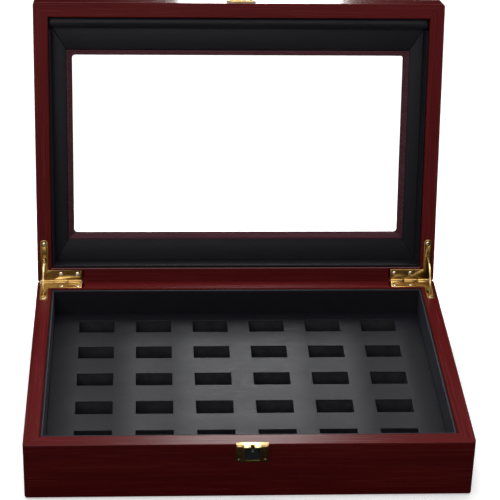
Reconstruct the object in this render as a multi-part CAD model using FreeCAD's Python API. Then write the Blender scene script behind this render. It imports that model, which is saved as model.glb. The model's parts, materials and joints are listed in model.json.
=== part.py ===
import FreeCAD, Part
import math
import os

from FreeCAD import Vector

# A cherry display case: a shallow base with a slotted foam tray, and a window lid on two
# quadrant hinges whose curved stays hold it open. Millimetres, +Z up, +Y towards the hinges.
# The origin is the centre of the base's underside. The lid is modelled shut, then swung open.

# ---- the case ------------------------------------------------------------------------------
CASE_WIDTH = 360.0          # along X
CASE_DEPTH = 254.0          # along Y
BASE_HEIGHT = 52.0          # from the table to the base's rim
LID_HEIGHT = 26.0           # from the lid's rim to its top
RAIL = 13.0                 # thickness of the side rails
CORNER_RADIUS = 2.5         # upright corners
EDGE_EASE = 1.0             # outer edges at the bottom and top
RIM_EASE = 0.3              # outer edges where the lid meets the base
RIM_CHAMFER = 0.8           # inner edge of each rim
LID_GAP = 0.3               # between the two rims when the lid is shut
OPEN_ANGLE = 103.0          # how far the stays let the lid open

# ---- panels, liners and window -------------------------------------------------------------
FELT = 0.8                  # felt under the base
FELT_INSET = 3.0
BOTTOM_PANEL = 4.0
LID_PANEL = 6.0             # members that frame the window
REBATE = 6.0                # width of the rebates that hold the panels
PANEL_PLAY = 0.1            # between a panel and its rebate
LINER = 2.4                 # leatherette on card
LINER_DROP = 0.9            # liner edge below the rim
LINER_ROUND = 1.0
FRONT_PAD = 11.4            # padded block on the lid's front wall
FRONT_PAD_ROUND = 4.5
INNER_FRAME = 2.5           # flat lining round the window
BAND_SIDE = 12.2            # its width at the sides
BAND_END = 20.0             # and at the front and back
BEAD_WIDTH = 5.0            # wooden bead round the window
BEAD_PROUD = 1.0            # bead above the flat lining
BEAD_FLAT = 1.2             # flat land along the bead's outer edge
BEAD_LOW_EDGE = 1.3         # bead thickness at the window
WINDOW_RADIUS = 3.0
PANE = 2.0
PANE_REBATE = 4.0           # how far the pane reaches behind the bead and members
WINDOW_BEVEL = 2.5          # on the outside of the window
FIT = 0.2                   # play between pieces dropped into each other

# ---- tray ----------------------------------------------------------------------------------
TRAY_TOP = 28.0             # height of the tray's surface
TRAY_BOARD = 2.4
TRAY_COVER = 0.8
TRAY_PLAY = 0.3             # round the tray, to the liners
SLOT_LENGTH = 31.0          # along X
SLOT_WIDTH = 18.6           # along Y
SLOT_GAP_X = 19.5           # foam between neighbours in a row
SLOT_GAP_Y = 24.0           # foam between rows
TRAY_LAND = 12.0            # least foam around the slots
GRID_SHIFT = 3.0            # the slots sit nearer the hinges

# ---- quadrant hinges -----------------------------------------------------------------------
LEAF = 2.0                  # leaf thickness
LEAF_LENGTH = 37.0          # leg along the back rail
LEAF_INSET = 2.0            # rail left in front of the leg along the back rail
BASE_LEG = 32.0             # leg along the side rail, in the base
LID_LEG = 39.0              # and in the lid
LEG_INSET = 3.3             # rail left inside that leg
LEAF_MARGIN = 2.5           # from the case's side to the leaf
LEG_END_FLAT = 1.2          # between the rounded corners of a side leg's end
MORTISE_PLAY = 0.15
MORTISE_EXTRA = 2.4         # the mortise is longer than the leaf, short of the rail's back edge
AXIS_DROP = 0.9             # pin below the middle of the gap, so the open lid's edge hides it
KNUCKLE_RADIUS = 2.75
KNUCKLE_GAP = 0.3
PIN_RADIUS = 1.2
PIN_SEAT = 0.02             # radial, pin in the base leaf
PIN_RUNNING = 0.05          # radial, pin in the lid leaf
STAY_HEADROOM = 5.0         # lid height beyond the stay's radius
STAY_WIDTH = 3.0
STAY_THICKNESS = 1.6
STAY_HEAD_WIDTH = 4.8
STAY_HEAD_LENGTH = 2.5
STAY_PLAY = 0.4
STAY_STOP_GAP = 0.3         # head to leaf when the lid is fully open
SCREW_RADIUS = 1.1
SCREW_HEAD_RADIUS = 2.2
SCREW_HEAD_DEPTH = 1.1
SCREW_DOME = 0.3
SCREW_SINK = 0.35           # head's rim below the leaf's face
SCREW_LENGTH = 9.0
SCREW_SLOT = 0.5            # driver slot, square in section
SCREW_FROM_END = 3.7        # first back screw, from the leaf's free end
SCREW_PITCH = 14.8          # between the two back screws
SCREW_SIDE_FROM_END = 4.0   # side screw, from the leaf's free end

# ---- front catch ---------------------------------------------------------------------------
CATCH_X = 1.3               # it sits slightly right of the middle
CATCH_WIDTH = 26.0
CATCH_HEIGHT = 17.0
CATCH_PLATE = 1.4
CATCH_LIP = 2.2             # how far the lip reaches over the rim
CATCH_LIP_THICK = 1.2
CATCH_PROUD = 5.0           # how far the housing stands off the wood
HOUSING_WIDTH = 14.4
HOUSING_CAP = 1.2
HOUSING_CHEEK = 1.5
HOUSING_SILL = 1.0
EAR_MARGIN = 0.6            # plate left beyond each ear
EAR_HEIGHT = 9.5
EAR_PROUD = 1.2
BUTTON_HEIGHT = 11.4
BUTTON_PLAY = 0.3
BUTTON_RECESS = 0.7         # button face behind the housing's face
BUTTON_TRAVEL = 1.6
BUTTON_FLANGE = 1.3
BUTTON_FLANGE_OVER = 1.2    # flange wider than the opening, each side
POCKET_WALL = 4.0           # front rail left behind the button's pocket
SPRING_STRIP = 0.4          # thickness of the spring's steel strip
SPRING_WIDTH = 5.0
SPRING_SEAT = 0.05          # between the spring and what it bears on
NOTCH_WIDTH = 2.8
NOTCH_DEPTH = 4.6
NAIL_RADIUS = 0.6
NAIL_HEAD_RADIUS = 1.0
NAIL_HEAD_PROUD = 0.6
NAIL_LENGTH = 6.0

# ---- hasp on the lid -----------------------------------------------------------------------
HASP_PLATE = 1.2
HASP_PLATE_LIFT = 5.0       # plate's lower edge above the lid's rim
HASP_PLATE_DROP = 4.0       # plate's upper edge below the lid's top
HASP_AXIS_LIFT = 10.0       # flap's pin above the lid's rim
HASP_AXIS_PROUD = 2.8       # flap's pin out from the wood
HASP_KNUCKLE = 1.3
HASP_PIN = 0.6
HASP_FLAP = 1.0             # flap thickness
HASP_FLAP_WIDTH = 12.0
HASP_KNUCKLE_END = 4.0      # length of each outer knuckle
HASP_FLAP_STOP = 0.6        # flap's end above the catch when it hangs shut
HASP_ROLL = 0.9             # rolled edge of the flap
TONGUE_WIDTH = 2.0
TONGUE_REACH = 3.6          # tongue below the rim when it hangs shut

# ---- modelling ------------------------------------------------------------------------------
OVER = 1.0                  # how far a cutting shape runs past what it cuts
SLACK = 0.01                # when picking edges by their place
SHORT = 0.5                 # edges shorter than this aren't picked
JOINT_PAST = 0.3            # how far a mitre's cut runs past its ends, as a share of its length

# ---- places worked out from the sizes above ------------------------------------------------
HALF_W = CASE_WIDTH / 2
HALF_D = CASE_DEPTH / 2
IN_X = HALF_W - RAIL
IN_Y = HALF_D - RAIL
CASE_OUTER = (HALF_W, -HALF_D, HALF_D)        # half width, lowest Y, highest Y
CASE_INNER = (IN_X, -IN_Y, IN_Y)
FLOOR_Z = FELT + BOTTOM_PANEL
BASE_LINED_X = IN_X - LINER
BASE_LINED_Y = IN_Y - LINER
TRAY_X = BASE_LINED_X - TRAY_PLAY
TRAY_Y = BASE_LINED_Y - TRAY_PLAY
FOAM_LOW = FLOOR_Z + TRAY_BOARD
FOAM_TOP = TRAY_TOP - TRAY_COVER
COLUMNS = int((2 * TRAY_X - 2 * TRAY_LAND + SLOT_GAP_X) / (SLOT_LENGTH + SLOT_GAP_X))
ROWS = int((2 * TRAY_Y - 2 * TRAY_LAND + SLOT_GAP_Y) / (SLOT_WIDTH + SLOT_GAP_Y))

AXIS_Y = HALF_D
AXIS_Z = BASE_HEIGHT + LID_GAP / 2 - AXIS_DROP
LID_Z = BASE_HEIGHT + LID_GAP
LID_TOP = LID_Z + LID_HEIGHT
LID_PANEL_Z = LID_TOP - LID_PANEL
LID_LINING_Z = LID_PANEL_Z - INNER_FRAME
FRAME_X = IN_X - LINER
FRAME_FRONT_Y = -IN_Y + FRONT_PAD
FRAME_BACK_Y = IN_Y - LINER
BEAD_X = FRAME_X - BAND_SIDE
BEAD_FRONT_Y = FRAME_FRONT_Y + BAND_END
BEAD_BACK_Y = FRAME_BACK_Y - BAND_END
WINDOW_X = BEAD_X - BEAD_WIDTH
WINDOW_FRONT_Y = BEAD_FRONT_Y + BEAD_WIDTH
WINDOW_BACK_Y = BEAD_BACK_Y - BEAD_WIDTH

LEAF_BACK_WIDTH = RAIL - LEAF_INSET
LEG_WIDTH = RAIL - LEAF_MARGIN - LEG_INSET
LEG_END_ROUND = (LEG_WIDTH - LEG_END_FLAT) / 2
SCREW_FROM_BACK = (KNUCKLE_RADIUS + KNUCKLE_GAP + LEAF_BACK_WIDTH) / 2
LEAF_OUTER_X = HALF_W - LEAF_MARGIN
LEAF_INNER_X = LEAF_OUTER_X - LEAF_LENGTH
STAY_X = LEAF_OUTER_X - LEG_WIDTH / 2
STAY_RADIUS = LID_HEIGHT - STAY_HEADROOM      # the stay is an arc about the hinge pin
STAY_HEAD_INNER = STAY_RADIUS - STAY_HEAD_WIDTH / 2
STAY_HEAD_OUTER = STAY_RADIUS + STAY_HEAD_WIDTH / 2
STAY_HEAD_ANGLE = math.degrees(STAY_HEAD_LENGTH / STAY_RADIUS)

FRONT_Y = -HALF_D
CATCH_FACE_Y = FRONT_Y - CATCH_PLATE
HOUSING_Y = FRONT_Y - CATCH_PROUD
OPENING_TOP = BASE_HEIGHT - HOUSING_CAP
OPENING_LOW = OPENING_TOP - BUTTON_HEIGHT
OPENING_HALF = HOUSING_WIDTH / 2 - HOUSING_CHEEK
EAR_WIDTH = (CATCH_WIDTH - HOUSING_WIDTH) / 2 - FIT - EAR_MARGIN
BUTTON_FACE_Y = HOUSING_Y + BUTTON_RECESS
POCKET_END_Y = FRONT_Y + RAIL - POCKET_WALL
FLANGE_Y = FRONT_Y + FIT
FLANGE_HALF = OPENING_HALF + BUTTON_FLANGE_OVER
FLANGE_LOW = OPENING_LOW - BUTTON_FLANGE_OVER
HASP_Y = FRONT_Y - HASP_AXIS_PROUD
HASP_Z = LID_Z + HASP_AXIS_LIFT
HASP_PLATE_HEIGHT = LID_HEIGHT - HASP_PLATE_LIFT - HASP_PLATE_DROP


# ---- helpers -------------------------------------------------------------------------------
def block(x_low, x_high, y_low, y_high, z_low, z_high):
    return Part.makeBox(x_high - x_low, y_high - y_low, z_high - z_low, Vector(x_low, y_low, z_low))


def rod(radius, start, end):
    run = end - start
    return Part.makeCylinder(radius, run.Length, start, run)


def rod_x(radius, x_low, x_high, y, z):
    return rod(radius, Vector(x_low, y, z), Vector(x_high, y, z))


def fuse_all(shapes):
    whole = shapes[0]
    for shape in shapes[1:]:
        whole = whole.fuse(shape)
    return whole.removeSplitter()


def cut_all(shape, tools):
    for tool in tools:
        shape = shape.cut(tool)
    return shape


def edges_where(shape, test):
    return [edge for edge in shape.Edges if test(edge.BoundBox)]


def upright(box):
    return box.ZLength > SHORT and box.XLength < SLACK and box.YLength < SLACK


def level_at(z):
    return lambda box: abs(box.ZMin - z) < SLACK and abs(box.ZMax - z) < SLACK


def within(box, half_x, y_low, y_high):
    across = box.XMin >= -half_x - SLACK and box.XMax <= half_x + SLACK
    return across and box.YMin >= y_low - SLACK and box.YMax <= y_high + SLACK


def swing_open(shape):
    """Turns a shape from its place on the shut lid to its place on the open lid."""
    turned = shape.copy()
    turned.rotate(Vector(0, AXIS_Y, AXIS_Z), Vector(1, 0, 0), -OPEN_ANGLE)
    return turned


def mitred(ring, outer, inner):
    """Splits a rectangular ring into four members, by joints that run from its outer to its inner corners.

    outer and inner are each (half width, lowest Y, highest Y).
    """
    low, high = ring.BoundBox.ZMin - OVER, ring.BoundBox.ZMax + OVER

    def joint(side, end):
        start = Vector(side * outer[0], outer[end], low)
        run = Vector(side * inner[0], inner[end], low) - start
        return start - run * JOINT_PAST, start + run * (1 + JOINT_PAST)

    left_front, right_front, left_back, right_back = joint(-1, 1), joint(1, 1), joint(-1, 2), joint(1, 2)
    pairs = {"front": (left_front, right_front), "back": (left_back, right_back),
             "left": (left_front, left_back), "right": (right_front, right_back)}
    members = {}
    for side, (first, second) in pairs.items():
        corners = [first[0], second[0], second[1], first[1]]
        wedge = Part.Face(Part.makePolygon(corners + corners[:1])).extrude(Vector(0, 0, high - low))
        members[side] = ring.common(wedge)
    return members


def rectangle_ring(half_x, y_low, y_high, border_x, border_y, z_low, z_high):
    outer = block(-half_x, half_x, y_low, y_high, z_low, z_high)
    inner = block(border_x - half_x, half_x - border_x, y_low + border_y, y_high - border_y, z_low, z_high)
    return outer.cut(inner)


# ---- hinges --------------------------------------------------------------------------------
# way is -1 for the base's half of a hinge, below the pin, and +1 for the lid's, above it.
def rim_height(way):
    return BASE_HEIGHT if way < 0 else LID_Z


def leg_length(way):
    return BASE_LEG if way < 0 else LID_LEG


def leaf_outline(side, way, grow, z_low, z_high):
    """The L of a hinge leaf seen from above; grow widens it all round for the mortise."""
    outer = side * (LEAF_OUTER_X + grow)
    inner = side * (LEAF_INNER_X - grow)
    leg = side * (LEAF_OUTER_X - LEG_WIDTH - grow)
    end = AXIS_Y - leg_length(way) - grow
    back = block(min(outer, inner), max(outer, inner), AXIS_Y - LEAF_BACK_WIDTH - grow, AXIS_Y, z_low, z_high)
    side_leg = block(min(outer, leg), max(outer, leg), end, AXIS_Y, z_low, z_high)
    plate = back.fuse(side_leg).removeSplitter()
    at_end = edges_where(plate, lambda b: upright(b) and b.YMin < end + SLACK)
    return plate.makeFillet(LEG_END_ROUND, at_end)


def knuckle_spans(side):
    """X ranges of the three knuckles: the middle one belongs to the lid leaf."""
    third = LEAF_LENGTH / 3
    spans = []
    for index in range(3):
        low = LEAF_INNER_X + index * third
        high = low + third
        low += KNUCKLE_GAP / 2 if index else 0
        high -= KNUCKLE_GAP / 2 if index < 2 else 0
        spans.append((low, high) if side > 0 else (-high, -low))
    return spans


def screw_places(side, way):
    return [
        (side * (LEAF_INNER_X + SCREW_FROM_END), AXIS_Y - SCREW_FROM_BACK),
        (side * (LEAF_INNER_X + SCREW_FROM_END + SCREW_PITCH), AXIS_Y - SCREW_FROM_BACK),
        (side * STAY_X, AXIS_Y - leg_length(way) + SCREW_SIDE_FROM_END),
    ]


def stay_slot(side, way):
    half_x = STAY_THICKNESS / 2 + STAY_PLAY
    half_y = STAY_WIDTH / 2 + STAY_PLAY
    x, y = side * STAY_X, AXIS_Y - STAY_RADIUS
    middle = rim_height(way) + way * LEAF / 2
    return block(x - half_x, x + half_x, y - half_y, y + half_y, middle - LEAF, middle + LEAF)


def tapered(big, small, length, start, inward):
    return Part.makeCone(big, small, length, start, Vector(0, 0, inward))


def countersunk(x, y, face_z, inward):
    """A wood screw driven from face_z along inward (+1 up, -1 down): cone, shank, low dome, driver slot."""
    rim = face_z + inward * SCREW_SINK
    neck = rim + inward * SCREW_HEAD_DEPTH
    tip = rim + inward * SCREW_LENGTH
    cone = tapered(SCREW_HEAD_RADIUS, SCREW_RADIUS, SCREW_HEAD_DEPTH, Vector(x, y, rim), inward)
    point = tapered(SCREW_RADIUS, SCREW_RADIUS / 4, SCREW_RADIUS, Vector(x, y, tip), inward)
    shank = rod(SCREW_RADIUS, Vector(x, y, neck), Vector(x, y, tip))
    ball = (SCREW_HEAD_RADIUS ** 2 + SCREW_DOME ** 2) / (2 * SCREW_DOME)
    sphere = Part.makeSphere(ball, Vector(x, y, rim + inward * (ball - SCREW_DOME)))
    cap = rod(SCREW_HEAD_RADIUS, Vector(x, y, rim - inward * SCREW_DOME), Vector(x, y, rim)).common(sphere)
    slot_low, slot_high = sorted((rim - inward * 2 * SCREW_DOME, rim + inward * SCREW_SLOT / 2))
    slot = block(x - SCREW_HEAD_RADIUS, x + SCREW_HEAD_RADIUS, y - SCREW_SLOT / 2, y + SCREW_SLOT / 2,
                 slot_low, slot_high)
    return fuse_all([cone, shank, point, cap]).cut(slot)


def screw_bore(x, y, face_z, inward):
    """What a screw needs out of the leaf and the wood behind it."""
    rim = face_z + inward * SCREW_SINK
    end = rim + inward * (SCREW_LENGTH + SCREW_RADIUS)
    mouth = rod(SCREW_HEAD_RADIUS, Vector(x, y, face_z - inward), Vector(x, y, rim))
    cone = tapered(SCREW_HEAD_RADIUS, SCREW_RADIUS, SCREW_HEAD_DEPTH, Vector(x, y, rim), inward)
    return fuse_all([mouth, cone, rod(SCREW_RADIUS, Vector(x, y, rim), Vector(x, y, end))])


def hinge_screws(way):
    places = [place for side in (-1, 1) for place in screw_places(side, way)]
    return Part.makeCompound([countersunk(x, y, rim_height(way), way) for x, y in places])


def hinge_leaf(side, way):
    """One leaf with its knuckles."""
    face = rim_height(way)
    z_low, z_high = sorted((face, face + way * LEAF))
    plate = leaf_outline(side, way, 0.0, z_low, z_high)
    spans = knuckle_spans(side)
    own = [spans[1]] if way > 0 else [spans[0], spans[2]]
    others = [spans[0], spans[2]] if way > 0 else [spans[1]]
    clear = KNUCKLE_RADIUS + KNUCKLE_GAP
    for low, high in others:
        plate = plate.cut(rod_x(clear, low - KNUCKLE_GAP, high + KNUCKLE_GAP, AXIS_Y, AXIS_Z))
    knuckles = [rod_x(KNUCKLE_RADIUS, low, high, AXIS_Y, AXIS_Z) for low, high in own]
    leaf = fuse_all([plate] + knuckles)
    bore = PIN_RADIUS + (PIN_RUNNING if way > 0 else PIN_SEAT)
    leaf = leaf.cut(rod_x(bore, -HALF_W, HALF_W, AXIS_Y, AXIS_Z))
    bores = [screw_bore(x, y, face, way) for x, y in screw_places(side, way)]
    return cut_all(leaf, bores + [stay_slot(side, way)])


def hinge_pin(side):
    low, high = sorted((side * LEAF_INNER_X, side * LEAF_OUTER_X))
    pin = rod_x(PIN_RADIUS, low, high, AXIS_Y, AXIS_Z)
    ends = edges_where(pin, lambda b: b.XLength < SLACK)
    return pin.makeChamfer(PIN_RADIUS / 4, ends)


def arc_bar(start_angle, end_angle, width, x_low, x_high):
    """A bar bent about the hinge pin; angles rise from the base's rim towards the lid."""
    def at(angle, radius):
        turn = math.radians(angle)
        return Vector(x_low, AXIS_Y - radius * math.cos(turn), AXIS_Z + radius * math.sin(turn))

    middle = (start_angle + end_angle) / 2
    inner, outer = STAY_RADIUS - width / 2, STAY_RADIUS + width / 2
    outline = Part.Wire([
        Part.Arc(at(start_angle, outer), at(middle, outer), at(end_angle, outer)).toShape(),
        Part.LineSegment(at(end_angle, outer), at(end_angle, inner)).toShape(),
        Part.Arc(at(end_angle, inner), at(middle, inner), at(start_angle, inner)).toShape(),
        Part.LineSegment(at(start_angle, inner), at(start_angle, outer)).toShape(),
    ])
    return Part.Face(outline).extrude(Vector(x_high - x_low, 0, 0))


def stay_stop_angle(way):
    """Where a stay's head meets the hidden face of its leaf, in degrees past the rim."""
    depth = abs(rim_height(way) + way * LEAF - AXIS_Z)
    return math.degrees(math.asin((depth + STAY_STOP_GAP) / STAY_HEAD_INNER))


def stay(side):
    low = side * STAY_X - STAY_THICKNESS / 2
    high = low + STAY_THICKNESS
    base_stop, lid_stop = -stay_stop_angle(-1), OPEN_ANGLE + stay_stop_angle(1)
    base_end, lid_end = base_stop - STAY_HEAD_ANGLE, lid_stop + STAY_HEAD_ANGLE
    bar = arc_bar(base_end, lid_end, STAY_WIDTH, low, high)
    lower_head = arc_bar(base_end, base_stop, STAY_HEAD_WIDTH, low, high)
    upper_head = arc_bar(lid_stop, lid_end, STAY_HEAD_WIDTH, low, high)
    return fuse_all([bar, lower_head, upper_head])


def stay_pocket(side, way):
    """The mortise that a stay's end swings into, below the base's rim or above the lid's."""
    half_x = STAY_THICKNESS / 2 + STAY_PLAY
    buried = math.radians(min(OPEN_ANGLE / 2 + stay_stop_angle(way) + STAY_HEAD_ANGLE, 90.0))
    y_front = AXIS_Y - STAY_HEAD_OUTER - STAY_PLAY
    y_back = AXIS_Y - STAY_HEAD_INNER * math.cos(buried) + STAY_PLAY
    depth = STAY_HEAD_OUTER * math.sin(buried) + STAY_PLAY
    z_low, z_high = sorted((AXIS_Z, AXIS_Z + way * depth))
    centre = side * STAY_X
    return block(centre - half_x, centre + half_x, y_front, y_back, z_low, z_high)


def mortise_end(side, z_low, z_high):
    """The mortise beyond the leaf's free end; it stops short of the rail's back edge."""
    start, end = sorted((side * LEAF_INNER_X, side * (LEAF_INNER_X - MORTISE_EXTRA)))
    y_low = AXIS_Y - LEAF_BACK_WIDTH - MORTISE_PLAY
    return block(start, end, y_low, AXIS_Y - KNUCKLE_RADIUS - KNUCKLE_GAP, z_low, z_high)


def hinge_cuts(way):
    """Everything the hinges need out of the base's rim or the lid's."""
    cuts = []
    face = rim_height(way)
    z_low, z_high = sorted((face - way * OVER, face + way * (LEAF + MORTISE_PLAY)))
    for side in (-1, 1):
        cuts.append(leaf_outline(side, way, MORTISE_PLAY, z_low, z_high))
        cuts.append(mortise_end(side, z_low, z_high))
        low, high = sorted((side * (LEAF_INNER_X - KNUCKLE_GAP), side * (LEAF_OUTER_X + KNUCKLE_GAP)))
        cuts.append(rod_x(KNUCKLE_RADIUS + KNUCKLE_GAP, low, high, AXIS_Y, AXIS_Z))
        cuts.append(stay_pocket(side, way))
        cuts += [screw_bore(x, y, face, way) for x, y in screw_places(side, way)]
    return cuts


# ---- base ----------------------------------------------------------------------------------
def rail_ring(z_low, z_high, rim_z):
    """The four rails as one ring, eased outside and chamfered along the inside of the rim."""
    outer = block(-HALF_W, HALF_W, -HALF_D, HALF_D, z_low, z_high)
    outer = outer.makeFillet(CORNER_RADIUS, edges_where(outer, upright))
    far_z = z_low + z_high - rim_z
    for z, ease in ((far_z, EDGE_EASE), (rim_z, RIM_EASE)):
        outer = outer.makeFillet(ease, edges_where(outer, level_at(z)))
    ring = outer.cut(block(-IN_X, IN_X, -IN_Y, IN_Y, z_low - OVER, z_high + OVER))
    at_rim = level_at(rim_z)
    inside = edges_where(ring, lambda b: at_rim(b) and within(b, IN_X, -IN_Y, IN_Y))
    return ring.makeChamfer(RIM_CHAMFER, inside)


def panel_rebate(z_low, z_high):
    return block(-IN_X - REBATE, IN_X + REBATE, -IN_Y - REBATE, IN_Y + REBATE, z_low, z_high)


def base_rails():
    ring = rail_ring(FELT, BASE_HEIGHT, BASE_HEIGHT)
    ring = ring.cut(panel_rebate(FELT - OVER, FLOOR_Z))
    ring = cut_all(ring, hinge_cuts(-1) + catch_cuts())
    return {f"base_{side}_rail": rail for side, rail in mitred(ring, CASE_OUTER, CASE_INNER).items()}


def base_bottom_panel():
    half_x, half_y = IN_X + REBATE - PANEL_PLAY, IN_Y + REBATE - PANEL_PLAY
    return block(-half_x, half_x, -half_y, half_y, FELT, FLOOR_Z)


def base_felt():
    half_x, half_y = HALF_W - FELT_INSET, HALF_D - FELT_INSET
    sheet = block(-half_x, half_x, -half_y, half_y, 0, FELT)
    return sheet.makeFillet(CORNER_RADIUS, edges_where(sheet, upright))


def liner_ring(z_low, z_high, edge_z):
    """Four liners against the rails, with their free edges rounded."""
    ring = rectangle_ring(IN_X, -IN_Y, IN_Y, LINER, LINER, z_low, z_high)
    members = mitred(ring, CASE_INNER, (IN_X - LINER, LINER - IN_Y, IN_Y - LINER))
    free_edge = level_at(edge_z)
    rounded = {}
    for side, liner in members.items():
        edges = edges_where(liner, lambda b: free_edge(b) and max(b.XLength, b.YLength) > 2 * RAIL)
        rounded[side] = liner.makeFillet(LINER_ROUND, edges)
    return rounded


def base_liners():
    top = BASE_HEIGHT - LINER_DROP
    return {f"base_{side}_liner": liner for side, liner in liner_ring(FLOOR_Z, top, top).items()}


# ---- tray ----------------------------------------------------------------------------------
def slot_centres_x():
    pitch = SLOT_LENGTH + SLOT_GAP_X
    return [(column - (COLUMNS - 1) / 2) * pitch for column in range(COLUMNS)]


def slot_centres_y():
    pitch = SLOT_WIDTH + SLOT_GAP_Y
    return [GRID_SHIFT + (row - (ROWS - 1) / 2) * pitch for row in range(ROWS)]


def gaps_between(centres, width, low, high):
    """The stretches of foam that the slots leave along one direction."""
    starts = [low] + [centre + width / 2 for centre in centres]
    ends = [centre - width / 2 for centre in centres] + [high]
    return list(zip(starts, ends))


def tray_board():
    return block(-TRAY_X, TRAY_X, -TRAY_Y, TRAY_Y, FLOOR_Z, FOAM_LOW)


def foam_row_strips():
    strips = [block(-TRAY_X, TRAY_X, low, high, FOAM_LOW, FOAM_TOP)
              for low, high in gaps_between(slot_centres_y(), SLOT_WIDTH, -TRAY_Y, TRAY_Y)]
    return Part.makeCompound(strips)


def foam_slot_spacers():
    spacers = []
    for y in slot_centres_y():
        for low, high in gaps_between(slot_centres_x(), SLOT_LENGTH, -TRAY_X, TRAY_X):
            spacers.append(block(low, high, y - SLOT_WIDTH / 2, y + SLOT_WIDTH / 2, FOAM_LOW, FOAM_TOP))
    return Part.makeCompound(spacers)


def tray_cover():
    cover = block(-TRAY_X, TRAY_X, -TRAY_Y, TRAY_Y, FOAM_TOP, TRAY_TOP)
    windows = [block(x - SLOT_LENGTH / 2, x + SLOT_LENGTH / 2, y - SLOT_WIDTH / 2, y + SLOT_WIDTH / 2,
                     FOAM_TOP - OVER, TRAY_TOP + OVER)
               for x in slot_centres_x() for y in slot_centres_y()]
    return cover.cut(Part.makeCompound(windows))


# ---- lid, modelled shut --------------------------------------------------------------------
def lid_rails():
    ring = rail_ring(LID_Z, LID_TOP, LID_Z)
    ring = ring.cut(panel_rebate(LID_PANEL_Z, LID_TOP + OVER))
    ring = cut_all(ring, hinge_cuts(1) + hasp_nail_bores())
    return {f"lid_{side}_rail": rail for side, rail in mitred(ring, CASE_OUTER, CASE_INNER).items()}


def window_opening(grow, z_low, z_high):
    half_x = WINDOW_X + grow
    opening = block(-half_x, half_x, WINDOW_FRONT_Y - grow, WINDOW_BACK_Y + grow, z_low, z_high)
    return opening.makeFillet(WINDOW_RADIUS, edges_where(opening, upright))


def lid_window_members():
    """The mitred members that frame the window, bevelled outside and rebated inside for the pane."""
    half_x, half_y = IN_X + REBATE - PANEL_PLAY, IN_Y + REBATE - PANEL_PLAY
    panel = block(-half_x, half_x, -half_y, half_y, LID_PANEL_Z, LID_TOP)
    panel = panel.cut(window_opening(0.0, LID_PANEL_Z - OVER, LID_TOP + OVER))
    at_top = level_at(LID_TOP)
    mouth = edges_where(panel, lambda b: at_top(b) and within(b, WINDOW_X, WINDOW_FRONT_Y, WINDOW_BACK_Y))
    panel = panel.makeChamfer(WINDOW_BEVEL, mouth)
    panel = panel.cut(window_opening(PANE_REBATE, LID_PANEL_Z - OVER, LID_PANEL_Z + PANE + FIT))
    members = mitred(panel, (half_x, -half_y, half_y), (WINDOW_X, WINDOW_FRONT_Y, WINDOW_BACK_Y))
    return {f"lid_window_{side}": member for side, member in members.items()}


def window_pane():
    return window_opening(PANE_REBATE - FIT, LID_PANEL_Z, LID_PANEL_Z + PANE)


def flat_rectangle(half_x, y_low, y_high, z):
    places = [(-half_x, y_low), (half_x, y_low), (half_x, y_high), (-half_x, y_high)]
    corners = [Vector(x, y, z) for x, y in places]
    return Part.makePolygon(corners + corners[:1])


def window_bead():
    """A sloped wooden bead that holds the pane, proud of the lining and thin at the window."""
    face = LID_LINING_Z - BEAD_PROUD
    edge = LID_PANEL_Z - BEAD_LOW_EDGE
    outer_x = WINDOW_X + BEAD_WIDTH - FIT
    outer_front, outer_back = WINDOW_FRONT_Y - BEAD_WIDTH + FIT, WINDOW_BACK_Y + BEAD_WIDTH - FIT
    bead = block(-outer_x, outer_x, outer_front, outer_back, face, LID_PANEL_Z)
    mouth = flat_rectangle(outer_x - BEAD_FLAT, outer_front + BEAD_FLAT, outer_back - BEAD_FLAT, face)
    throat = flat_rectangle(WINDOW_X, WINDOW_FRONT_Y, WINDOW_BACK_Y, edge)
    slope = Part.makeLoft([mouth, throat], True, True)
    return cut_all(bead, [slope, window_opening(0.0, face - OVER, LID_PANEL_Z + OVER)])


def lid_inner_frame():
    ring = rectangle_ring(FRAME_X, FRAME_FRONT_Y, FRAME_BACK_Y, BAND_SIDE, BAND_END,
                          LID_LINING_Z, LID_PANEL_Z)
    members = mitred(ring, (FRAME_X, FRAME_FRONT_Y, FRAME_BACK_Y), (BEAD_X, BEAD_FRONT_Y, BEAD_BACK_Y))
    return Part.makeCompound(list(members.values()))


def lid_liners():
    """Back and side liners, and the thick rounded pad on the front wall."""
    low = LID_Z + LINER_DROP
    liners = liner_ring(low, LID_PANEL_Z, low)
    pad_zone = block(-IN_X, IN_X, -IN_Y, FRAME_FRONT_Y, low - OVER, LID_PANEL_Z + OVER)
    nodes = {}
    for side in ("back", "left", "right"):
        nodes[f"lid_{side}_liner"] = liners[side].cut(pad_zone)
    pad = block(-IN_X, IN_X, -IN_Y, FRAME_FRONT_Y, low, LID_PANEL_Z)
    free = level_at(low)
    pad = pad.makeFillet(FRONT_PAD_ROUND, edges_where(pad, lambda b: free(b) and b.XLength > RAIL))
    nodes["lid_front_pad"] = pad
    return nodes


# ---- front catch ---------------------------------------------------------------------------
def catch_nail_places():
    drop = CATCH_HEIGHT - 2 * NAIL_HEAD_RADIUS
    out = CATCH_WIDTH / 2 - EAR_WIDTH / 2
    return [(CATCH_X + side * out, BASE_HEIGHT - drop) for side in (-1, 1)]


def nail(x, z, face_y):
    """A domed nail driven along +Y from the face at face_y."""
    head = Part.makeSphere(NAIL_HEAD_RADIUS, Vector(x, face_y, z))
    reach = 2 * NAIL_HEAD_RADIUS
    cut = block(x - reach, x + reach, face_y - NAIL_HEAD_PROUD, face_y, z - reach, z + reach)
    head = head.common(cut)
    shank = rod(NAIL_RADIUS, Vector(x, face_y, z), Vector(x, face_y + NAIL_LENGTH, z))
    return fuse_all([head, shank])


def nail_bore(x, z, face_y):
    return rod(NAIL_RADIUS, Vector(x, face_y - OVER, z), Vector(x, face_y + NAIL_LENGTH, z))


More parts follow.
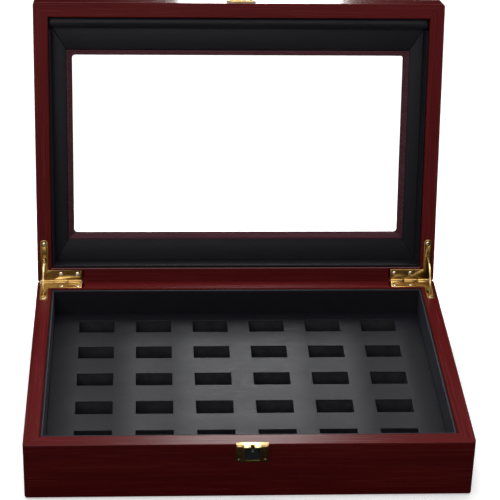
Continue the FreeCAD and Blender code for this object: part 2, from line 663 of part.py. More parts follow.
def catch_cuts():
    """The recess for the catch's lip, the pocket for its button, and the nail holes."""
    left, right = CATCH_X - CATCH_WIDTH / 2, CATCH_X + CATCH_WIDTH / 2
    lip = block(left, right, FRONT_Y - OVER, FRONT_Y + CATCH_LIP,
                BASE_HEIGHT - CATCH_LIP_THICK, BASE_HEIGHT + OVER)
    half = FLANGE_HALF + BUTTON_PLAY
    pocket = block(CATCH_X - half, CATCH_X + half, FRONT_Y - OVER, POCKET_END_Y,
                   FLANGE_LOW - BUTTON_PLAY, OPENING_TOP)
    return [lip, pocket] + [nail_bore(x, z, CATCH_FACE_Y) for x, z in catch_nail_places()]


def catch_housing():
    """Plate with a lip over the rim, a housing round the button, and two cushioned ears."""
    left, right = CATCH_X - CATCH_WIDTH / 2, CATCH_X + CATCH_WIDTH / 2
    low = BASE_HEIGHT - CATCH_HEIGHT
    plate = block(left, right, CATCH_FACE_Y, FRONT_Y, low, BASE_HEIGHT)
    bottom = edges_where(plate, lambda b: b.YLength > SHORT and b.ZMax < low + SLACK)
    plate = plate.makeFillet(CORNER_RADIUS, bottom)
    lip = block(left, right, CATCH_FACE_Y, FRONT_Y + CATCH_LIP, BASE_HEIGHT - CATCH_LIP_THICK, BASE_HEIGHT)
    half = HOUSING_WIDTH / 2
    body = block(CATCH_X - half, CATCH_X + half, HOUSING_Y, FRONT_Y, OPENING_LOW - HOUSING_SILL, BASE_HEIGHT)
    body = body.makeFillet(EDGE_EASE / 2, edges_where(body, lambda b: b.YMax < HOUSING_Y + SLACK))
    ears = []
    for side in (-1, 1):
        x_low, x_high = sorted((CATCH_X + side * (half + FIT), CATCH_X + side * (half + FIT + EAR_WIDTH)))
        ear = block(x_low, x_high, CATCH_FACE_Y - EAR_PROUD, FRONT_Y,
                    BASE_HEIGHT - EAR_HEIGHT - EDGE_EASE / 2, BASE_HEIGHT - EDGE_EASE / 2)
        ears.append(ear.makeFillet(EDGE_EASE, edges_where(ear, lambda b: b.YMax < CATCH_FACE_Y)))
    solid = fuse_all([plate, lip, body] + ears)
    opening = block(CATCH_X - OPENING_HALF, CATCH_X + OPENING_HALF, HOUSING_Y - OVER, FRONT_Y + OVER,
                    OPENING_LOW, OPENING_TOP)
    notch = block(CATCH_X - NOTCH_WIDTH / 2, CATCH_X + NOTCH_WIDTH / 2, HOUSING_Y - OVER, CATCH_FACE_Y,
                  OPENING_TOP - OVER, BASE_HEIGHT + OVER)
    return cut_all(solid, [opening, notch] + [nail_bore(x, z, CATCH_FACE_Y) for x, z in catch_nail_places()])


def catch_button():
    """Push button with a flange behind the plate and a notch for the hasp's tongue."""
    half = OPENING_HALF - BUTTON_PLAY
    low, high = OPENING_LOW + BUTTON_PLAY, OPENING_TOP - BUTTON_PLAY
    body = block(CATCH_X - half, CATCH_X + half, BUTTON_FACE_Y, FLANGE_Y + BUTTON_FLANGE, low, high)
    body = body.makeFillet(EDGE_EASE / 2, edges_where(body, lambda b: b.YMax < BUTTON_FACE_Y + SLACK))
    flange = block(CATCH_X - FLANGE_HALF, CATCH_X + FLANGE_HALF, FLANGE_Y, FLANGE_Y + BUTTON_FLANGE,
                   FLANGE_LOW, high)
    notch = block(CATCH_X - NOTCH_WIDTH / 2, CATCH_X + NOTCH_WIDTH / 2, BUTTON_FACE_Y - OVER,
                  CATCH_FACE_Y + BUTTON_PLAY, BASE_HEIGHT - NOTCH_DEPTH, BASE_HEIGHT)
    return fuse_all([body, flange]).cut(notch)


def catch_spring():
    """A bowed strip of spring steel: its crown bears on the button, its ends on the pocket's end."""
    crown = FLANGE_Y + BUTTON_FLANGE + SPRING_SEAT
    foot = POCKET_END_Y - SPRING_SEAT
    low = (OPENING_LOW + OPENING_TOP - SPRING_WIDTH) / 2

    def bow(inset):
        half = FLANGE_HALF - inset
        ends = [Vector(CATCH_X - half, foot, low), Vector(CATCH_X + half, foot, low)]
        return Part.Arc(ends[0], Vector(CATCH_X, crown + inset, low), ends[1]).toShape(), ends

    outer, outer_ends = bow(0.0)
    inner, inner_ends = bow(SPRING_STRIP)
    feet = [Part.LineSegment(a, b).toShape() for a, b in zip(outer_ends, inner_ends)]
    outline = Part.Wire(Part.__sortEdges__([outer, inner] + feet))
    return Part.Face(outline).extrude(Vector(0, 0, SPRING_WIDTH))


# ---- hasp on the lid's front, modelled shut and folded up -----------------------------------
def hasp_nail_places():
    out = CATCH_WIDTH / 2 - 2 * NAIL_HEAD_RADIUS
    up = LID_Z + HASP_PLATE_LIFT + HASP_PLATE_HEIGHT - 2 * NAIL_HEAD_RADIUS
    down = LID_Z + HASP_PLATE_LIFT + 2 * NAIL_HEAD_RADIUS
    return [(CATCH_X + side * out, z) for side in (-1, 1) for z in (down, up)]


def hasp_nail_bores():
    return [nail_bore(x, z, FRONT_Y - HASP_PLATE) for x, z in hasp_nail_places()]


def hasp_knuckle_spans():
    half = HASP_FLAP_WIDTH / 2
    outer = half + KNUCKLE_GAP
    return {"flap": [(-half, half)],
            "plate": [(-outer - HASP_KNUCKLE_END, -outer), (outer, outer + HASP_KNUCKLE_END)]}


def hasp_plate():
    half = CATCH_WIDTH / 2
    low = LID_Z + HASP_PLATE_LIFT
    plate = block(CATCH_X - half, CATCH_X + half, FRONT_Y - HASP_PLATE, FRONT_Y, low, low + HASP_PLATE_HEIGHT)
    corners = edges_where(plate, lambda b: b.YLength > SHORT and b.XLength < SLACK and b.ZLength < SLACK)
    plate = plate.makeFillet(CORNER_RADIUS, corners)
    parts = [plate]
    for x_low, x_high in hasp_knuckle_spans()["plate"]:
        parts.append(rod_x(HASP_KNUCKLE, CATCH_X + x_low, CATCH_X + x_high, HASP_Y, HASP_Z))
        parts.append(block(CATCH_X + x_low, CATCH_X + x_high, HASP_Y, FRONT_Y - HASP_PLATE / 2,
                           HASP_Z - HASP_KNUCKLE, HASP_Z + HASP_KNUCKLE))
    solid = fuse_all(parts).cut(rod_x(HASP_PIN + PIN_SEAT, -HALF_W, HALF_W, HASP_Y, HASP_Z))
    return cut_all(solid, hasp_nail_bores())


def hasp_flap():
    """Flap and tongue folded up; hanging shut, the tongue drops into the catch's notch."""
    half = HASP_FLAP_WIDTH / 2
    plate_reach = HASP_Z - BASE_HEIGHT - HASP_FLAP_STOP
    tongue_reach = HASP_Z - BASE_HEIGHT + TONGUE_REACH
    y_low, y_high = HASP_Y - HASP_FLAP / 2, HASP_Y + HASP_FLAP / 2
    plate = block(CATCH_X - half, CATCH_X + half, y_low, y_high, HASP_Z, HASP_Z + plate_reach - HASP_ROLL)
    tongue = block(CATCH_X - TONGUE_WIDTH / 2, CATCH_X + TONGUE_WIDTH / 2, y_low, y_high,
                   HASP_Z, HASP_Z + tongue_reach)
    roll = rod_x(HASP_ROLL, CATCH_X - half, CATCH_X + half, HASP_Y, HASP_Z + plate_reach - HASP_ROLL)
    knuckle = rod_x(HASP_KNUCKLE, CATCH_X - half, CATCH_X + half, HASP_Y, HASP_Z)
    solid = fuse_all([plate, tongue, roll, knuckle])
    return solid.cut(rod_x(HASP_PIN + PIN_RUNNING, -HALF_W, HALF_W, HASP_Y, HASP_Z))


def hasp_pin():
    reach = HASP_FLAP_WIDTH / 2 + KNUCKLE_GAP + HASP_KNUCKLE_END
    return rod_x(HASP_PIN, CATCH_X - reach, CATCH_X + reach, HASP_Y, HASP_Z)


# ---- the whole case ------------------------------------------------------------------------
def base_nodes():
    nodes = base_rails()
    nodes.update(base_liners())
    nodes["base_bottom_panel"] = base_bottom_panel()
    nodes["base_felt"] = base_felt()
    nodes["tray_board"] = tray_board()
    nodes["foam_row_strips"] = foam_row_strips()
    nodes["foam_slot_spacers"] = foam_slot_spacers()
    nodes["tray_cover"] = tray_cover()
    nodes["hinge_base_screws"] = hinge_screws(-1)
    nodes["catch_housing"] = catch_housing()
    nodes["catch_button"] = catch_button()
    nodes["catch_spring"] = catch_spring()
    nodes["catch_nails"] = Part.makeCompound([nail(x, z, CATCH_FACE_Y) for x, z in catch_nail_places()])
    for side, word in ((-1, "left"), (1, "right")):
        nodes[f"hinge_{word}_base_leaf"] = hinge_leaf(side, -1)
        nodes[f"hinge_{word}_pin"] = hinge_pin(side)
        nodes[f"hinge_{word}_stay"] = stay(side)
    return nodes


def lid_nodes():
    nodes = lid_rails()
    nodes.update(lid_window_members())
    nodes.update(lid_liners())
    nodes["window_pane"] = window_pane()
    nodes["window_bead"] = window_bead()
    nodes["lid_inner_frame"] = lid_inner_frame()
    nodes["hinge_lid_screws"] = hinge_screws(1)
    for side, word in ((-1, "left"), (1, "right")):
        nodes[f"hinge_{word}_lid_leaf"] = hinge_leaf(side, 1)
    nodes["hasp_plate"] = hasp_plate()
    nodes["hasp_nails"] = Part.makeCompound([nail(x, z, FRONT_Y - HASP_PLATE) for x, z in hasp_nail_places()])
    nodes["hasp_pin"] = hasp_pin()
    nodes["hasp_flap"] = hasp_flap()
    return {name: swing_open(shape) for name, shape in nodes.items()}


def main():
    os.makedirs("parts", exist_ok=True)
    nodes = base_nodes()
    nodes.update(lid_nodes())
    for name, shape in nodes.items():
        shape.exportStep(f"parts/{name}.step")
    print(len(nodes), "nodes,", COLUMNS, "columns and", ROWS, "rows of slots")


main()
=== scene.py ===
# %% [markdown]
# # A cherry display case with a window lid
#
# The case is a shallow wooden box for coins. Its base holds a foam tray covered in black
# leatherette, cut with rows of slots. Its lid is a wooden frame round a window, held open by
# two brass quadrant hinges. The rigid shape comes from the CAD model, which is loaded first
# and never moved. This lesson gives it finishes, and models again what the CAD can only
# block in: the lining, the padded roll in the lid, the foam, and the brass with its soft edges.

# %% Load the frame
import json
import math

import bmesh
import bpy
from mathutils import Matrix, Vector


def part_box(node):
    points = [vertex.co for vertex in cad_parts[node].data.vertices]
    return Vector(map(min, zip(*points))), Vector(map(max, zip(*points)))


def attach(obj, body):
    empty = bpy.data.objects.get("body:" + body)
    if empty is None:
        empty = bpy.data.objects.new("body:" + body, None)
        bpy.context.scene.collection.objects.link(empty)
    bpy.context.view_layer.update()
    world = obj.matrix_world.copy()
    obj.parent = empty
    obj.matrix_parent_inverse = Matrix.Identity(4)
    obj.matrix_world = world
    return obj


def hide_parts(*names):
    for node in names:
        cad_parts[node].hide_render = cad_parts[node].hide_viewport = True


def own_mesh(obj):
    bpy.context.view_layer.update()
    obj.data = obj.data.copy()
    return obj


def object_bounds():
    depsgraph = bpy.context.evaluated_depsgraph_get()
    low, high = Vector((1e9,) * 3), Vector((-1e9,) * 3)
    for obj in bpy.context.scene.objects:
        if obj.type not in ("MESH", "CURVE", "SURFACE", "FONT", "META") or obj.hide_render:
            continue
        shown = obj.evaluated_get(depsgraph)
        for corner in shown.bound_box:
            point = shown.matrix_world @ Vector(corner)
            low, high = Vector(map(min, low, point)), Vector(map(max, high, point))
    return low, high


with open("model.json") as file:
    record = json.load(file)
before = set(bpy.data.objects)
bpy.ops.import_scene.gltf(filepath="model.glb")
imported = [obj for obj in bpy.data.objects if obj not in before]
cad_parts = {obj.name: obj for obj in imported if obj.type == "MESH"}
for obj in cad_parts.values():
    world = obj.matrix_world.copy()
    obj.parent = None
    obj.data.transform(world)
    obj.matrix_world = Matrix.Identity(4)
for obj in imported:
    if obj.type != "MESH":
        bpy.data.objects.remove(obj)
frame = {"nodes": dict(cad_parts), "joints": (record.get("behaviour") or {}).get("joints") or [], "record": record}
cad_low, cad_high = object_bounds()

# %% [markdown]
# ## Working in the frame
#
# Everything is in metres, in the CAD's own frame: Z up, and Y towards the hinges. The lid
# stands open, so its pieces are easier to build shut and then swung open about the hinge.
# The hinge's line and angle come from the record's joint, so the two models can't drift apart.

MM = 0.001
lid_joint = next(joint for joint in frame["joints"] if joint["name"] == "lid_hinge")
HINGE = Vector(lid_joint["pos_m"])
OPEN = math.radians(lid_joint["range_deg"][1])
SWING_SHUT = Matrix.Translation(HINGE) @ Matrix.Rotation(OPEN, 4, "X") @ Matrix.Translation(-HINGE)
SWING_OPEN = SWING_SHUT.inverted()
BODY_OF = {node: body for body, nodes in frame["record"]["behaviour"]["bodies"].items() for node in nodes}


def points_of(node, shut=False):
    """A CAD node's points, as they stand or as they lie when the lid is shut."""
    turn = SWING_SHUT if shut else Matrix.Identity(4)
    return [turn @ vertex.co for vertex in frame["nodes"][node].data.vertices]


def shut_box(node):
    """The lowest and highest corner of a lid node when the lid is shut."""
    points = points_of(node, shut=True)
    low = Vector([min(point[axis] for point in points) for axis in range(3)])
    high = Vector([max(point[axis] for point in points) for axis in range(3)])
    return low, high


def levels(node, axis):
    """The distinct places of a square-cut node's points along one axis, lowest first."""
    return sorted({round(point[axis], 5) for point in points_of(node)})


print("hinge at", tuple(HINGE), "opens", round(math.degrees(OPEN), 1), "degrees")

# %% [markdown]
# ## Hand tools
#
# An operator works on whatever is selected, and the loaded nodes come in selected, so each
# helper deselects first. Edges and faces are picked in code by where they are, as a modeller
# would click them. A finished piece has its place in its mesh and its origin at the world's.

# %% Selecting and shaping
def deselect():
    bpy.ops.object.select_all(action="DESELECT")


def work_on(piece):
    deselect()
    piece.select_set(True)
    bpy.context.view_layer.objects.active = piece


def rename(piece, name):
    piece.name = name
    piece.data.name = name
    return piece


def box_between(name, low, high):
    """A cube primitive sized to the box from low to high, its origin at the world's."""
    deselect()
    low, high = Vector(low), Vector(high)
    bpy.ops.mesh.primitive_cube_add(size=1, location=(low + high) / 2)
    piece = bpy.context.object
    piece.scale = high - low
    bpy.ops.object.transform_apply(location=True, rotation=True, scale=True)
    return rename(piece, name)


def edit(piece, kind="FACE"):
    work_on(piece)
    bpy.ops.object.mode_set(mode="EDIT")
    bpy.ops.mesh.select_mode(type=kind)
    bpy.ops.mesh.select_all(action="DESELECT")
    return bmesh.from_edit_mesh(piece.data)


def choose_edges(piece, mesh, test):
    """Selects the edges that the test picks by their two ends."""
    for edge in mesh.edges:
        edge.select = test(edge.verts[0].co, edge.verts[1].co)
    bmesh.update_edit_mesh(piece.data)


def choose_faces(piece, mesh, test):
    """Selects the faces that the test picks by their middle and normal."""
    for face in mesh.faces:
        face.select = test(face.calc_center_median(), face.normal)
    bmesh.update_edit_mesh(piece.data)


def leave_edit():
    bpy.ops.mesh.select_all(action="SELECT")
    bpy.ops.mesh.normals_make_consistent(inside=False)
    bpy.ops.object.mode_set(mode="OBJECT")


def smooth(piece, degrees=35):
    work_on(piece)
    bpy.ops.object.shade_smooth_by_angle(angle=math.radians(degrees))
    return piece


def swing_open(piece):
    """Turns a piece from its place on the shut lid to its place on the open one."""
    work_on(piece)
    piece.matrix_world = SWING_OPEN
    bpy.ops.object.transform_apply(location=True, rotation=True, scale=True)
    return piece


def place(piece, body, finish, nodes):
    """Gives a finished piece its finish and its body, and hides the CAD nodes it stands for."""
    piece.data.materials.clear()
    piece.data.materials.append(finish)
    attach(piece, body)
    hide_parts(*nodes)
    print(piece.name, len(piece.data.polygons), "faces on", body)
    return piece


# %% [markdown]
# ## Camera
#
# The case is seen from in front, about thirty degrees above the table, a little to the left.
# A long lens from over a metre and a half keeps the box's sides nearly straight.

# %% Camera
CAMERA_PLACE = Vector((-0.084, -1.341, 0.916))
YAW, PITCH, ROLL = (math.radians(angle) for angle in (3.71, 29.48, 1.70))
LENS = 135.1


def add_camera():
    level = Vector((math.cos(YAW), -math.sin(YAW), 0))
    ahead = Vector((math.sin(YAW) * math.cos(PITCH), math.cos(YAW) * math.cos(PITCH), -math.sin(PITCH)))
    upward = level.cross(ahead)
    right = level * math.cos(ROLL) + upward * math.sin(ROLL)
    up = upward * math.cos(ROLL) - level * math.sin(ROLL)
    lens = bpy.data.cameras.new("camera")
    lens.lens = LENS
    lens.clip_end = 50
    camera = bpy.data.objects.new("camera", lens)
    bpy.context.scene.collection.objects.link(camera)
    turn = Matrix((right, up, -ahead)).transposed().to_4x4()
    camera.matrix_world = Matrix.Translation(CAMERA_PLACE) @ turn
    bpy.context.scene.camera = camera


add_camera()

# %% [markdown]
# ## Floor and light
#
# A white floor runs past the edge of the picture. Gloss shows mostly what it faces, so the
# light is arranged for reflections: a tall soft panel behind the case shines through the
# window onto the tray and the front rim, a broad one overhead lights the rims, and one in
# front fills the lid's lining. The lacquer and the brass would mirror the white floor and
# turn pale, so the floor is kept out of reflections, and below the horizon the surroundings
# are dark. Behind the floor's edge the eye sees a pale backdrop that sheds no light.

# %% Floor and lights
FLOOR_SIZE = 8.0
FLOOR_GLOW = 0.35
BACKDROP = 0.9
SKY_LIGHT = 0.19
GROUND_LIGHT = 0.05
DARK_BELOW, LIGHT_ABOVE = -0.45, 0.05    # heights on the world's unit sphere
PANELS = {                               # place, aim, width, height, radiance
    "panel_behind": ((0.035, 0.47, 0.53), (0.02, 0, 0.53), 0.16, 0.58, 16.5),
    "panel_overhead": ((-0.2, 0.5, 2.4), (0, 0.1, 0), 2.4, 2.4, 3.8),
    "panel_front": ((-0.4, -2.5, 1.5), (0, 0, 0.1), 2.0, 1.2, 4.5),
}


def add_floor():
    deselect()
    bpy.ops.mesh.primitive_plane_add(size=FLOOR_SIZE, location=(0, 1, cad_low.z))
    floor = rename(bpy.context.object, "floor")
    finish = bpy.data.materials.new("studio_floor")
    finish.use_nodes = True
    surface = finish.node_tree.nodes["Principled BSDF"]
    surface.inputs["Base Color"].default_value = (0.9, 0.9, 0.9, 1)
    surface.inputs["Roughness"].default_value = 0.9
    surface.inputs["Specular IOR Level"].default_value = 0.1
    surface.inputs["Emission Color"].default_value = (1, 1, 1, 1)
    surface.inputs["Emission Strength"].default_value = FLOOR_GLOW
    floor.data.materials.append(finish)
    floor.visible_glossy = False


def add_panel(name, place_at, aim_at, width, height, radiance):
    """A soft panel light of a given brightness, facing aim_at."""
    lamp = bpy.data.lights.new(name, "AREA")
    lamp.shape = "RECTANGLE"
    lamp.size, lamp.size_y = width, height
    lamp.energy = radiance * math.pi * width * height
    light = bpy.data.objects.new(name, lamp)
    bpy.context.scene.collection.objects.link(light)
    facing = (Vector(aim_at) - Vector(place_at)).to_track_quat("-Z", "Y")
    light.matrix_world = Matrix.Translation(place_at) @ facing.to_matrix().to_4x4()
    light.visible_camera = False


def add_world():
    """Dark below the horizon and pale above it, with a backdrop that only the camera sees."""
    world = bpy.data.worlds.new("studio")
    world.use_nodes = True
    tree = world.node_tree
    upward = tree.nodes.new("ShaderNodeSeparateXYZ")
    shade = tree.nodes.new("ShaderNodeMapRange")
    tree.links.new(tree.nodes.new("ShaderNodeTexCoord").outputs["Generated"], upward.inputs["Vector"])
    tree.links.new(upward.outputs["Z"], shade.inputs["Value"])
    for socket, value in (("From Min", DARK_BELOW), ("From Max", LIGHT_ABOVE),
                          ("To Min", GROUND_LIGHT), ("To Max", SKY_LIGHT)):
        shade.inputs[socket].default_value = value
    tree.links.new(shade.outputs["Result"], tree.nodes["Background"].inputs["Strength"])
    backdrop = tree.nodes.new("ShaderNodeBackground")
    backdrop.inputs["Strength"].default_value = BACKDROP
    seen = tree.nodes.new("ShaderNodeMixShader")
    tree.links.new(tree.nodes.new("ShaderNodeLightPath").outputs["Is Camera Ray"], seen.inputs["Fac"])
    tree.links.new(tree.nodes["Background"].outputs["Background"], seen.inputs[1])
    tree.links.new(backdrop.outputs["Background"], seen.inputs[2])
    tree.links.new(seen.outputs["Shader"], tree.nodes["World Output"].inputs["Surface"])
    bpy.context.scene.world = world


add_floor()
add_world()
for panel, settings in PANELS.items():
    add_panel(panel, *settings)
bpy.context.scene.view_settings.view_transform = "Standard"

# %% [markdown]
# ## Patterns for the finishes
#
# Each finish is a pattern of nodes on Object coordinates, so it sits still on its piece and
# has a true size in metres. The same few moves come back in all of them: turn the pattern,
# draw noise out along the grain, look tones up on a ramp, and press the pattern in as a bump.

# %% Node helpers
def new_finish(name):
    finish = bpy.data.materials.new(name)
    finish.use_nodes = True
    return finish.node_tree, finish.node_tree.nodes["Principled BSDF"], finish


def node(tree, kind, **settings):
    made = tree.nodes.new("ShaderNode" + kind)
    for key, value in settings.items():
        setattr(made, key, value)
    return made


def object_points(tree, turn=(0, 0, 0), shift=(0, 0, 0)):
    """Object coordinates, turned by Euler degrees and shifted in metres."""
    points = node(tree, "TexCoord")
    mapping = node(tree, "Mapping")
    mapping.inputs["Rotation"].default_value = [math.radians(angle) for angle in turn]
    mapping.inputs["Location"].default_value = shift
    tree.links.new(points.outputs["Object"], mapping.inputs["Vector"])
    return mapping.outputs["Vector"]


def noise(tree, points, size, detail=3.0, roughness=0.55, distortion=0.0):
    """Noise whose blotches are size metres across; a size of three numbers stretches them."""
    sizes = size if hasattr(size, "__len__") else (size, size, size)
    stretch = node(tree, "Mapping")
    stretch.inputs["Scale"].default_value = [1 / length for length in sizes]
    tree.links.new(points, stretch.inputs["Vector"])
    made = node(tree, "TexNoise")
    made.inputs["Scale"].default_value = 1.0
    made.inputs["Detail"].default_value = detail
    made.inputs["Roughness"].default_value = roughness
    made.inputs["Distortion"].default_value = distortion
    tree.links.new(stretch.outputs["Vector"], made.inputs["Vector"])
    return made.outputs["Fac"]


def cells(tree, points, size, feature="DISTANCE_TO_EDGE"):
    """Pebbles of about size metres: 0 in the creases between them."""
    made = node(tree, "TexVoronoi", feature=feature)
    made.inputs["Scale"].default_value = 1 / size
    tree.links.new(points, made.inputs["Vector"])
    return made.outputs["Distance"]


def ramp(tree, factor, stops):
    """Looks a 0 to 1 pattern up on a list of (place, colour) stops."""
    made = node(tree, "ValToRGB")
    band = made.color_ramp
    while len(band.elements) < len(stops):
        band.elements.new(0.5)
    for element, (where, colour) in zip(band.elements, stops):
        element.position = where
        element.color = (*colour, 1)
    tree.links.new(factor, made.inputs["Fac"])
    return made.outputs["Color"]


def span(tree, factor, low, high, from_low=0.3, from_high=0.7):
    """Spreads a pattern evenly over low to high."""
    made = node(tree, "MapRange")
    for name, value in zip(("From Min", "From Max", "To Min", "To Max"), (from_low, from_high, low, high)):
        made.inputs[name].default_value = value
    tree.links.new(factor, made.inputs["Value"])
    return made.outputs["Result"]


def blend_values(tree, first, second, share):
    """share of the second pattern, the rest of the first."""
    made = node(tree, "Mix", data_type="FLOAT")
    made.inputs["Factor"].default_value = share
    tree.links.new(first, made.inputs["A"])
    tree.links.new(second, made.inputs["B"])
    return made.outputs["Result"]


def blend_colours(tree, factor, first, second, way="MIX"):
    made = node(tree, "Mix", data_type="RGBA", blend_type=way)
    for socket, value in (("Factor", factor), ("A", first), ("B", second)):
        sockets = [s for s in made.inputs if s.name == socket and s.enabled]
        if isinstance(value, (int, float, tuple)):
            sockets[0].default_value = value
        else:
            tree.links.new(value, sockets[0])
    return [s for s in made.outputs if s.enabled][0]


def press(tree, surface, heights):
    """Bumps the surface: heights is a list of (pattern, depth in metres, strength)."""
    under = None
    for height, depth, strength in heights:
        made = node(tree, "Bump")
        made.inputs["Distance"].default_value = depth
        made.inputs["Strength"].default_value = strength
        tree.links.new(height, made.inputs["Height"])
        if under:
            tree.links.new(under, made.inputs["Normal"])
        under = made.outputs["Normal"]
    tree.links.new(under, surface.inputs["Normal"])


def set_constants(surface, **values):
    """Sets sockets of the surface that are the same all over; words are joined by spaces."""
    for name, value in values.items():
        surface.inputs[name.replace("_", " ")].default_value = value


# %% [markdown]
# ## Cherry under gloss lacquer
#
# The rails are stained a deep red and lacquered. Grain runs along each rail, so the pattern
# is turned to lie along it, and the lid's rails are first turned back to where they lie when
# the lid is shut. The rims are painted lighter and pinker than the faces: painted light and
# sheen from the lamps above, with the faces as the shaded copy. Every rail draws its own stretch of noise.

# %% Cherry
TONE_PLACES = (0.30, 0.52, 0.75)
FACE_COLOURS = ((0.024, 0.0002, 0.0002), (0.035, 0.0003, 0.0003), (0.047, 0.0007, 0.0007))
FACE_TONES = list(zip(TONE_PLACES, FACE_COLOURS))
# painted light: the rims are a lighter, pinker copy of the faces' colour, standing in for lamplight and sheen from
# above
LIT_RIM_COLOURS = ((0.060, 0.0034, 0.0038), (0.078, 0.0050, 0.0055), (0.098, 0.0072, 0.0077))
LIT_RIM_TONES = list(zip(TONE_PLACES, LIT_RIM_COLOURS))
# painted reflection: the bead's maroon wood is lightened to mauve, standing in for the pane's reflection over it
BEAD_REFLECTION_COLOURS = ((0.045, 0.0145, 0.020), (0.064, 0.0215, 0.029), (0.082, 0.031, 0.040))
BEAD_REFLECTION_TONES = list(zip(TONE_PLACES, BEAD_REFLECTION_COLOURS))
LIT_RIM_REACH = (1.3 * MM, 0.4 * MM)    # the faces' colour ends, and the rims' painted lighter colour begins, this far from the rim
LACQUER_IOR = 1.25


def lit_rim_mask(tree, turn, rim_height, upward):
    """1 where the rim is painted lighter, as lit from above, and 0 on the faces, by distance from the plane of the
    rim.
    """
    points = object_points(tree, turn)
    split = node(tree, "SeparateXYZ")
    tree.links.new(points, split.inputs["Vector"])
    inward = -1 if upward else 1
    near, far = (rim_height + inward * reach for reach in LIT_RIM_REACH)
    return span(tree, split.outputs["Z"], 0, 1, near, far)


def cherry(name, grain_turn, seed, rim=None, tones=None):
    """Lacquered cherry; rim is (turn, height, upward) of the rim painted lighter as if lit from above, where it
    has one.
    """
    tree, surface, finish = new_finish(name)
    points = object_points(tree, grain_turn, (seed * 1.7, seed * 0.31, seed * 0.13))
    figure = noise(tree, points, (0.22, 0.011, 0.011), detail=3, distortion=0.7)
    streaks = noise(tree, points, (0.07, 0.0016, 0.0016), detail=2)
    pores = noise(tree, points, (0.009, 0.00045, 0.00045), detail=1)
    tone = blend_values(tree, figure, streaks, 0.42)
    colour = ramp(tree, tone, tones or FACE_TONES)
    if rim:
        colour = blend_colours(tree, lit_rim_mask(tree, *rim), colour, ramp(tree, tone, LIT_RIM_TONES))
    dark_pores = ramp(tree, pores, [(0.28, (0.62, 0.62, 0.62)), (0.40, (1, 1, 1))])
    colour = blend_colours(tree, 0.6, colour, dark_pores, "MULTIPLY")
    tree.links.new(colour, surface.inputs["Base Color"])
    tree.links.new(span(tree, streaks, 0.23, 0.29), surface.inputs["Roughness"])
    set_constants(surface, IOR=LACQUER_IOR)
    orange_peel = noise(tree, points, 0.006, detail=1)
    press(tree, surface, [(pores, 0.02 * MM, 0.35), (orange_peel, 0.02 * MM, 0.25)])
    return finish


# %% [markdown]
# ## Black leatherette
#
# The tray, the walls and the lid are lined with a black embossed leatherette. Up close it is
# a pebble of less than a millimetre; from further off it shows as a soft grey sheen wherever
# it faces a light. Creases between the pebbles come from cells, and a mottle nearly twice
# their size breaks up the sheen.

# %% Leatherette
PEBBLE = 0.9 * MM
CREASE = 0.35 * MM
MOTTLE = 1.6 * MM
COOL_GLOSS = (0.93, 0.91, 1.0, 1)
COOL_SHEEN = (0.75, 0.8, 1.0, 1)


# tone makes each copy darker or lighter: painted shade and light, set piece by piece to how much light reaches it
def leatherette(name, tone=1.0, seed=0.0, gloss=0.40, shine=0.45):
    tree, surface, finish = new_finish(name)
    points = object_points(tree, shift=(seed, seed * 0.7, seed * 0.4))
    pebble = cells(tree, points, PEBBLE)
    crease = noise(tree, points, CREASE, detail=2)
    drift = noise(tree, points, 0.045, detail=2)
    rub = noise(tree, points, (0.012, 0.002, 0.012), detail=3)
    mottle = noise(tree, points, MOTTLE, detail=3, roughness=0.6)
    # dark and light carry this copy's painted shade through tone
    dark = tuple(0.0065 * tone * share for share in (1.0, 1.0, 1.45))
    light = tuple(0.0125 * tone * share for share in (1.0, 1.0, 1.40))
    worn = blend_values(tree, blend_values(tree, drift, rub, 0.5), mottle, 0.5)
    tree.links.new(ramp(tree, worn, [(0.3, dark), (0.7, light)]), surface.inputs["Base Color"])
    sheen = blend_values(tree, rub, mottle, 0.5)
    tree.links.new(span(tree, sheen, gloss - 0.07, gloss + 0.09), surface.inputs["Roughness"])
    set_constants(surface, IOR=1.45, Specular_IOR_Level=shine, Specular_Tint=COOL_GLOSS)
    set_constants(surface, Sheen_Weight=0.02, Sheen_Roughness=0.5, Sheen_Tint=COOL_SHEEN)
    press(tree, surface, [(mottle, 0.2 * MM, 0.8), (pebble, 0.10 * MM, 0.35), (crease, 0.06 * MM, 0.3)])
    return finish


# %% [markdown]
# ## Brass, steel and black enamel
#
# The hinges, stays, catch and hasp are polished brass under a clear lacquer. Polished metal
# shows its surroundings, so what makes it read as brass is its colour, slightly uneven gloss,
# and a brown tarnish in patches. The screws are paler, and the push button is black enamel.

# %% Metals
def metal(name, bright, tarnish, gloss, seed=0.0, brushed=(0.004, 0.0002, 0.0002)):
    tree, surface, finish = new_finish(name)
    points = object_points(tree, shift=(seed, 0, 0))
    patches = noise(tree, points, 0.004, detail=3, roughness=0.6)
    scratches = noise(tree, points, brushed, detail=2)
    colour = ramp(tree, patches, [(0.30, tarnish), (0.50, bright)])
    tree.links.new(colour, surface.inputs["Base Color"])
    uneven = blend_values(tree, patches, scratches, 0.5)
    tree.links.new(span(tree, uneven, gloss + 0.08, gloss), surface.inputs["Roughness"])
    set_constants(surface, Metallic=1.0, Coat_Weight=0.4, Coat_Roughness=0.08)
    press(tree, surface, [(scratches, 0.01 * MM, 0.3)])
    return finish


def enamel(name):
    """Thick black enamel with fine dust marks."""
    tree, surface, finish = new_finish(name)
    points = object_points(tree)
    marks = noise(tree, points, 0.0006, detail=3)
    tree.links.new(ramp(tree, marks, [(0.35, (0.004, 0.005, 0.005)), (0.7, (0.012, 0.014, 0.014))]),
                   surface.inputs["Base Color"])
    tree.links.new(span(tree, marks, 0.16, 0.30), surface.inputs["Roughness"])
    set_constants(surface, IOR=1.5, Coat_Weight=0.4, Coat_Roughness=0.06)
    press(tree, surface, [(noise(tree, points, 0.003, detail=1), 0.02 * MM, 0.2)])
    return finish


